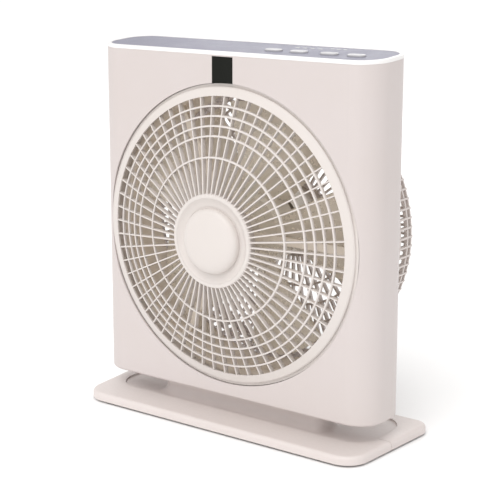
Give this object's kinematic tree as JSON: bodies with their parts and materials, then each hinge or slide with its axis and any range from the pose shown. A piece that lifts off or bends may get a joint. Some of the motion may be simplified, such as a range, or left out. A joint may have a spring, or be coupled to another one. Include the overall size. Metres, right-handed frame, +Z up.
{
  "type": "box fan",
  "caption": "Slim upright box fan on a broad foot, with a round turning louvre wheel in front, push buttons on a sloping top and a basket guard behind.",
  "frame": {"origin": "on the floor, under the middle of the foot", "axes": "+X to the right seen from the front, -Y towards the front, +Z up"},
  "size_m": [0.3816, 0.1629, 0.411],
  "materials": {
    "housing": "satin",
    "louvre": "satin",
    "panel": "satin",
    "button": "satin",
    "window": "gloss",
    "light": "gloss",
    "foot": "satin",
    "blade": "gloss",
    "duct": "matte",
    "guard": "matte",
    "steel": "brushed",
    "can": "satin",
    "lamination": "matte",
    "winding": "matte",
    "bush": "satin",
    "rubber": "matte",
    "board": "matte",
    "black": "matte",
    "capacitor": "matte"
  },
  "bodies": {
    "root": {"foot_front": "foot", "foot_rear": "foot", "rubber_pads": "rubber", "foot_joiners": "steel", "joiner_screws": "steel", "neck_screws": "steel", "front_housing": "housing", "rear_cover": "housing", "shell_screws": "steel", "display_window": "window", "receiver_board": "board", "top_cover": "housing", "control_panel": "panel", "indicator_lights": "light", "control_board": "board", "board_screws": "steel", "key_switches": "black", "louvre_stub_shaft": "steel", "louvre_retaining_screw": "steel", "louvre_motor": "black", "louvre_motor_screws": "steel", "air_duct": "duct", "duct_screws": "steel", "motor_rear_can": "can", "motor_rear_bush": "bush", "motor_front_can": "can", "motor_front_bush": "bush", "stator_core": "lamination", "stator_windings": "winding", "motor_screws": "steel", "rear_guard": "guard", "guard_screws": "steel", "cord_inlet": "black", "run_capacitor": "capacitor"},
    "louvre": {"louvre_wheel": "louvre", "louvre_cap": "louvre"},
    "rotor": {"fan_blade": "blade", "spinner_nut": "black", "rotor_core": "lamination", "motor_shaft": "steel"},
    "roller": {"drive_roller": "rubber", "drive_shaft": "steel"},
    "button_1_body": {"button_1": "button"},
    "button_2_body": {"button_2": "button"},
    "button_3_body": {"button_3": "button"},
    "button_4_body": {"button_4": "button"}
  },
  "joints": [
    {"name": "louvre_spin", "type": "hinge", "parent": "root", "child": "louvre", "pos_m": [0, -0.05085, 0.21], "axis": [0, -1, 0], "continuous": true},
    {"name": "fan_spin", "type": "hinge", "parent": "root", "child": "rotor", "pos_m": [0, -0.00885, 0.21], "axis": [0, -1, 0], "continuous": true},
    {"name": "roller_spin", "type": "hinge", "parent": "root", "child": "roller", "pos_m": [0.13579, -0.06035, 0.11134], "axis": [0, -1, 0], "continuous": true},
    {"name": "button_1_press", "type": "slide", "parent": "root", "child": "button_1_body", "axis": [0, 0.0663, -0.9978], "range_m": [0, 0.0012], "stiffness_N_per_m": 800},
    {"name": "button_2_press", "type": "slide", "parent": "root", "child": "button_2_body", "axis": [0, 0.0663, -0.9978], "range_m": [0, 0.0012], "stiffness_N_per_m": 800},
    {"name": "button_3_press", "type": "slide", "parent": "root", "child": "button_3_body", "axis": [0, 0.0663, -0.9978], "range_m": [0, 0.0012], "stiffness_N_per_m": 800},
    {"name": "button_4_press", "type": "slide", "parent": "root", "child": "button_4_body", "axis": [0, 0.0663, -0.9978], "range_m": [0, 0.0012], "stiffness_N_per_m": 800}
  ],
  "couplings": [
    {"joint": "roller_spin", "follows": "louvre_spin", "ratio": -21.333}
  ]
}
